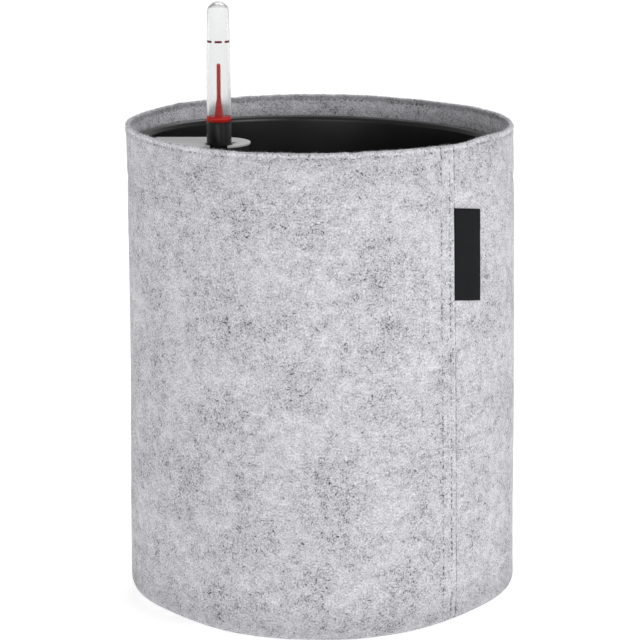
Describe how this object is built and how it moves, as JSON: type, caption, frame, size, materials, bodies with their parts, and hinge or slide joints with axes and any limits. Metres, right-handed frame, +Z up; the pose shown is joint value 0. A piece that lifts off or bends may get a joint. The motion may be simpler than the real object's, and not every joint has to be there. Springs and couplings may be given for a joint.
{
  "type": "self-watering plant pot with felt cover",
  "caption": "Round plant pot in a sewn felt cover: a plastic liner holds a soil separator, a filling shaft with a lift-off lid and a float level indicator with a red needle.",
  "frame": {"origin": "middle of the underside, on the surface that the pot stands on", "axes": "+Z up along the pot's axis, -Y towards the front, +X towards the side with the sewn seam and label"},
  "size_m": [0.225, 0.225, 0.3455],
  "materials": {
    "felt": "light grey flecked felt, matt",
    "label_tape": "black woven tape",
    "liner_black": "satin moulded black",
    "insert_black": "fine grained moulded black",
    "lid_grey": "satin moulded light grey",
    "clear_plastic": "clear polished",
    "stem_black": "satin black",
    "float_white": "off-white moulded",
    "needle_red": "translucent signal red"
  },
  "bodies": {
    "cover": {"cover_wall": "felt", "cover_base": "felt", "label": "label_tape"},
    "liner": {"liner_pot": "liner_black"},
    "separator": {"separator_plate": "insert_black", "soil_feet": "insert_black", "supply_shaft": "insert_black"},
    "lid": {"shaft_lid": "lid_grey"},
    "indicator": {"indicator_tube": "clear_plastic", "indicator_stem": "stem_black", "float_cage": "stem_black", "cage_plug": "stem_black"},
    "float": {"float_body": "float_white", "float_rod": "float_white", "level_needle": "needle_red"}
  },
  "joints": [
    {"name": "liner_lift", "type": "slide", "parent": "cover", "child": "liner", "axis": [0, 0, 1], "range_m": [0, 0.28]},
    {"name": "separator_lift", "type": "slide", "parent": "liner", "child": "separator", "axis": [0, 0, 1], "range_m": [0, 0.26]},
    {"name": "lid_lift", "type": "slide", "parent": "separator", "child": "lid", "axis": [0, 0, 1], "range_m": [0, 0.09]},
    {"name": "indicator_lift", "type": "slide", "parent": "separator", "child": "indicator", "axis": [0, 0, 1], "range_m": [0, 0.27]},
    {"name": "float_rise", "type": "slide", "parent": "indicator", "child": "float", "axis": [0, 0, 1], "range_m": [0, 0.014]}
  ]
}
